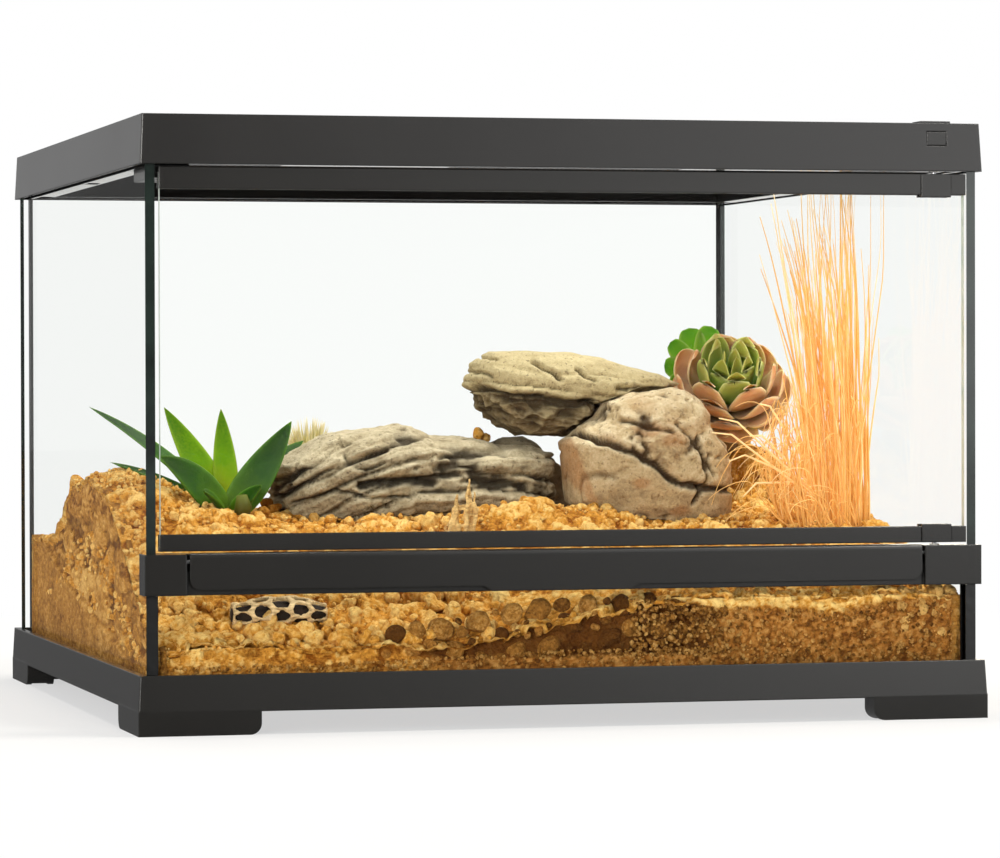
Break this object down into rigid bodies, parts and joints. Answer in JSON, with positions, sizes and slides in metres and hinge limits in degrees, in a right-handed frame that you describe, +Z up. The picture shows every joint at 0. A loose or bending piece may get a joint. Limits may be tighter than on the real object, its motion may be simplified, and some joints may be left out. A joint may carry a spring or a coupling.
{
  "type": "reptile terrarium",
  "caption": "Low front-opening glass terrarium with a raised base, hinged glass door, release flap, lift-off screen top and a desert landscape inside.",
  "frame": {"origin": "middle of the footprint, on the plane the feet stand on", "axes": "+Z up, -Y out of the door, +X towards the door's hinge"},
  "size_m": [0.46, 0.46, 0.3195],
  "materials": {
    "black_plastic": "fine satin moulded plastic",
    "clear_glass": "clear float glass with green-black cut edges",
    "silicone": "black silicone, smooth",
    "steel": "bright spring steel",
    "nylon": "natural nylon",
    "magnet": "nickel-plated magnet",
    "black_steel": "black painted steel",
    "soil": "golden clay sand with lumps and gravel",
    "grey_rock": "layered grey-brown rock",
    "tan_rock": "tan rock with rust veins",
    "green_leaf": "waxy green leaf",
    "rosette_leaf": "waxy leaf, green with pink-tan edges",
    "straw": "dry golden grass",
    "bare_wood": "weathered brown wood"
  },
  "bodies": {
    "tank": {"base_frame": "black_plastic", "floor_glass": "clear_glass", "left_glass": "clear_glass", "right_glass": "clear_glass", "back_glass": "clear_glass", "front_glass": "clear_glass", "seam_back_left": "silicone", "seam_back_right": "silicone", "seam_front_left": "silicone", "seam_front_right": "silicone", "seam_floor": "silicone", "front_rail": "black_plastic", "vent_strip": "black_steel", "flap_pins": "steel", "flap_spring_left": "steel", "flap_spring_right": "steel", "top_frame": "black_plastic", "hinge_insert": "black_plastic", "release_spring": "steel", "upper_bush": "nylon", "lower_bush": "nylon", "catch_block": "black_plastic", "door_magnet": "magnet", "substrate": "soil", "ledge_rock": "grey_rock", "boulder": "tan_rock", "cap_stone": "grey_rock", "aloe": "green_leaf", "rosette_plant": "rosette_leaf", "dry_grass": "straw", "air_plant": "green_leaf", "wood_stub": "bare_wood", "wood_stick": "bare_wood", "cholla_branch": "bare_wood"},
    "door": {"door_glass": "clear_glass", "door_upper_rail": "black_plastic", "door_lower_rail": "black_plastic", "upper_hinge_block": "black_plastic", "lower_hinge_block": "black_plastic", "pivot_pins": "steel", "strike_plate": "steel"},
    "flap": {"flap": "black_plastic"},
    "release_button": {"release_button": "black_plastic"},
    "screen": {"screen_frame": "black_plastic", "screen_mesh": "black_steel"},
    "latch_front_left": {"latch_front_left": "black_plastic"},
    "latch_front_right": {"latch_front_right": "black_plastic"},
    "latch_back_left": {"latch_back_left": "black_plastic"},
    "latch_back_right": {"latch_back_right": "black_plastic"},
    "port_shutter_left": {"port_shutter_left": "black_plastic"},
    "port_shutter_right": {"port_shutter_right": "black_plastic"}
  },
  "joints": [
    {"name": "door_hinge", "type": "hinge", "parent": "tank", "child": "door", "pos_m": [0.2025, -0.2225, 0.09], "axis": [0, 0, 1], "range_deg": [0, 110]},
    {"name": "flap_hinge", "type": "hinge", "parent": "tank", "child": "flap", "pos_m": [0, -0.2265, 0.089], "axis": [-1, 0, 0], "range_deg": [0, 25], "stiffness_Nm_per_rad": 0.06, "springref_deg": -17.19},
    {"name": "release_press", "type": "slide", "parent": "tank", "child": "release_button", "axis": [0, 1, 0], "range_m": [0, 0.0012], "stiffness_N_per_m": 400, "springref_m": -0.0005},
    {"name": "screen_lift", "type": "slide", "parent": "tank", "child": "screen", "axis": [0, 0, 1], "range_m": [0, 0.06]},
    {"name": "latch_front_left_slide", "type": "slide", "parent": "tank", "child": "latch_front_left", "axis": [1, 0, 0], "range_m": [0, 0.007]},
    {"name": "latch_back_left_slide", "type": "slide", "parent": "tank", "child": "latch_back_left", "axis": [1, 0, 0], "range_m": [0, 0.007]},
    {"name": "latch_front_right_slide", "type": "slide", "parent": "tank", "child": "latch_front_right", "axis": [-1, 0, 0], "range_m": [0, 0.007]},
    {"name": "latch_back_right_slide", "type": "slide", "parent": "tank", "child": "latch_back_right", "axis": [-1, 0, 0], "range_m": [0, 0.007]},
    {"name": "port_left_slide", "type": "slide", "parent": "tank", "child": "port_shutter_left", "axis": [-1, 0, 0], "range_m": [0, 0.042]},
    {"name": "port_right_slide", "type": "slide", "parent": "tank", "child": "port_shutter_right", "axis": [1, 0, 0], "range_m": [0, 0.042]}
  ]
}
